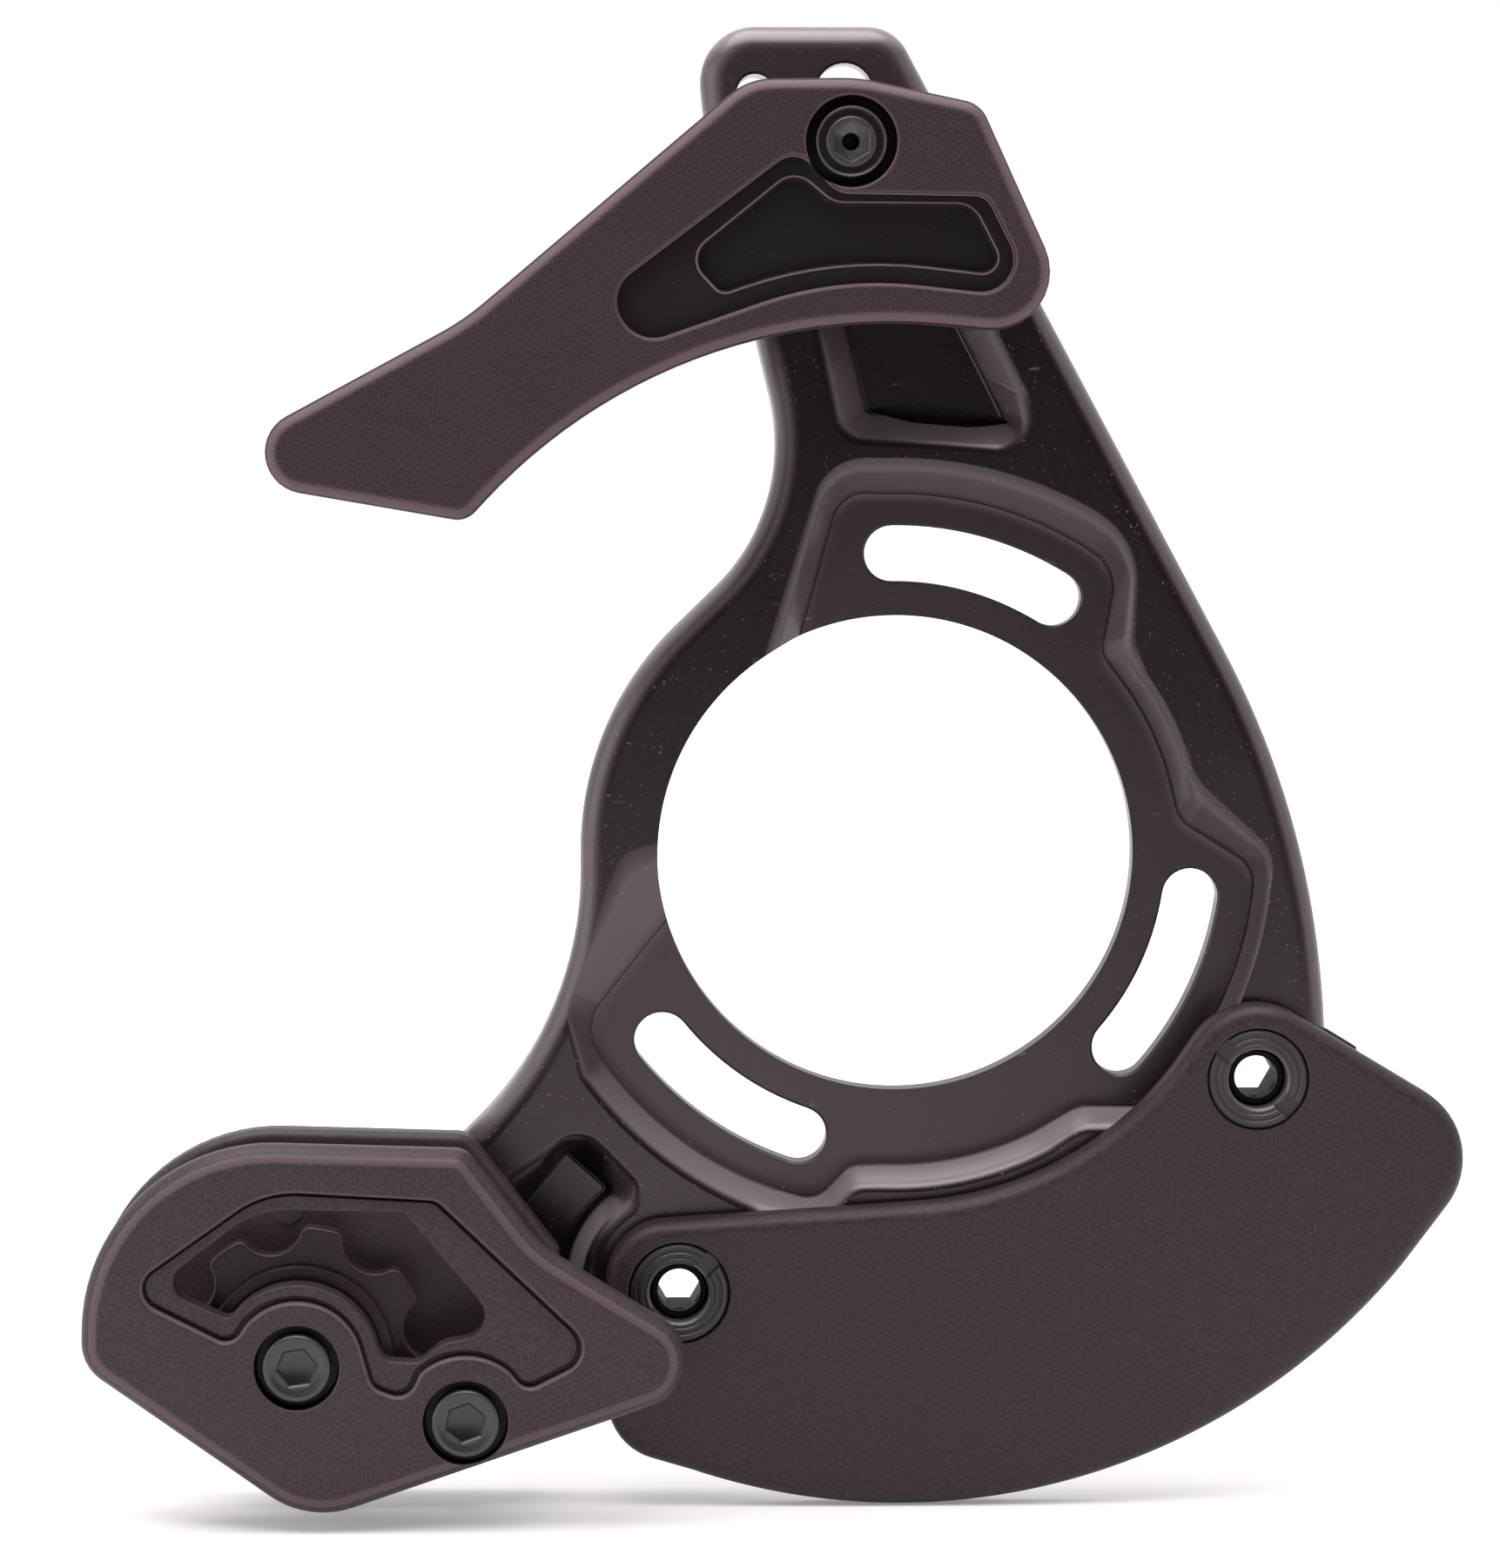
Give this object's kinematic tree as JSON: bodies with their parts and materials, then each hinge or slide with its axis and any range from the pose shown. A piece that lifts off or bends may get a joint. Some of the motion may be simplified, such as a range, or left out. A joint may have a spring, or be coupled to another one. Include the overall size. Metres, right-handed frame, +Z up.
{
  "type": "bicycle chain guide",
  "caption": "Chain guide for a single chainring: recessed backplate with slotted frame tabs, height-adjustable upper guide, lower cage with toothed pulley, and bash guard.",
  "frame": {"origin": "bottom bracket axis on the backplate's mounting face", "axes": "+X towards the front of the bicycle, +Y inboard out of the mounting face, +Z up"},
  "size_m": [0.1663, 0.026, 0.1787],
  "materials": {
    "plate_alloy": "black anodised, satin",
    "guide_plastic": "dark grey, fine moulded grain",
    "cage_plastic": "dark grey, fine moulded grain",
    "guard_plastic": "dark grey, smooth",
    "wheel_plastic": "dark grey, smooth",
    "screw_steel": "grey, satin",
    "bearing_steel": "ground",
    "seal_rubber": "matte black",
    "nut_alloy": "black anodised, turned",
    "spacer_alloy": "turned"
  },
  "bodies": {
    "plate": {"backplate": "plate_alloy", "cage_outer_plate": "cage_plastic", "cage_inner_plate": "cage_plastic", "cage_spacer": "spacer_alloy", "cage_screw": "screw_steel", "bearing_inner_ring": "bearing_steel", "pulley_front_bush": "spacer_alloy", "pulley_back_bush": "spacer_alloy", "pulley_screw": "screw_steel", "bash_guard": "guard_plastic", "left_chainring_nut": "nut_alloy", "right_chainring_nut": "nut_alloy", "left_chainring_bolt": "screw_steel", "right_chainring_bolt": "screw_steel"},
    "upper_guide": {"upper_outer_shell": "guide_plastic", "upper_inner_plate": "guide_plastic", "upper_spacer": "spacer_alloy", "upper_bolt": "screw_steel", "upper_t_nut": "screw_steel"},
    "pulley": {"pulley_wheel": "wheel_plastic", "bearing_outer_ring": "bearing_steel", "bearing_front_shield": "seal_rubber", "bearing_back_shield": "seal_rubber"},
    "ball_set": {"bearing_balls": "bearing_steel"}
  },
  "joints": [
    {"name": "upper_slide", "type": "slide", "parent": "plate", "child": "upper_guide", "axis": [0, 0, 1], "range_m": [-0.005, 0.005]},
    {"name": "pulley_spin", "type": "hinge", "parent": "plate", "child": "pulley", "pos_m": [-0.0719, -0.0175, -0.059], "axis": [0, 1, 0], "continuous": true},
    {"name": "ball_orbit", "type": "hinge", "parent": "plate", "child": "ball_set", "pos_m": [-0.0719, -0.0175, -0.059], "axis": [0, 1, 0], "continuous": true}
  ],
  "couplings": [
    {"joint": "ball_orbit", "follows": "pulley_spin", "ratio": 0.6378}
  ]
}
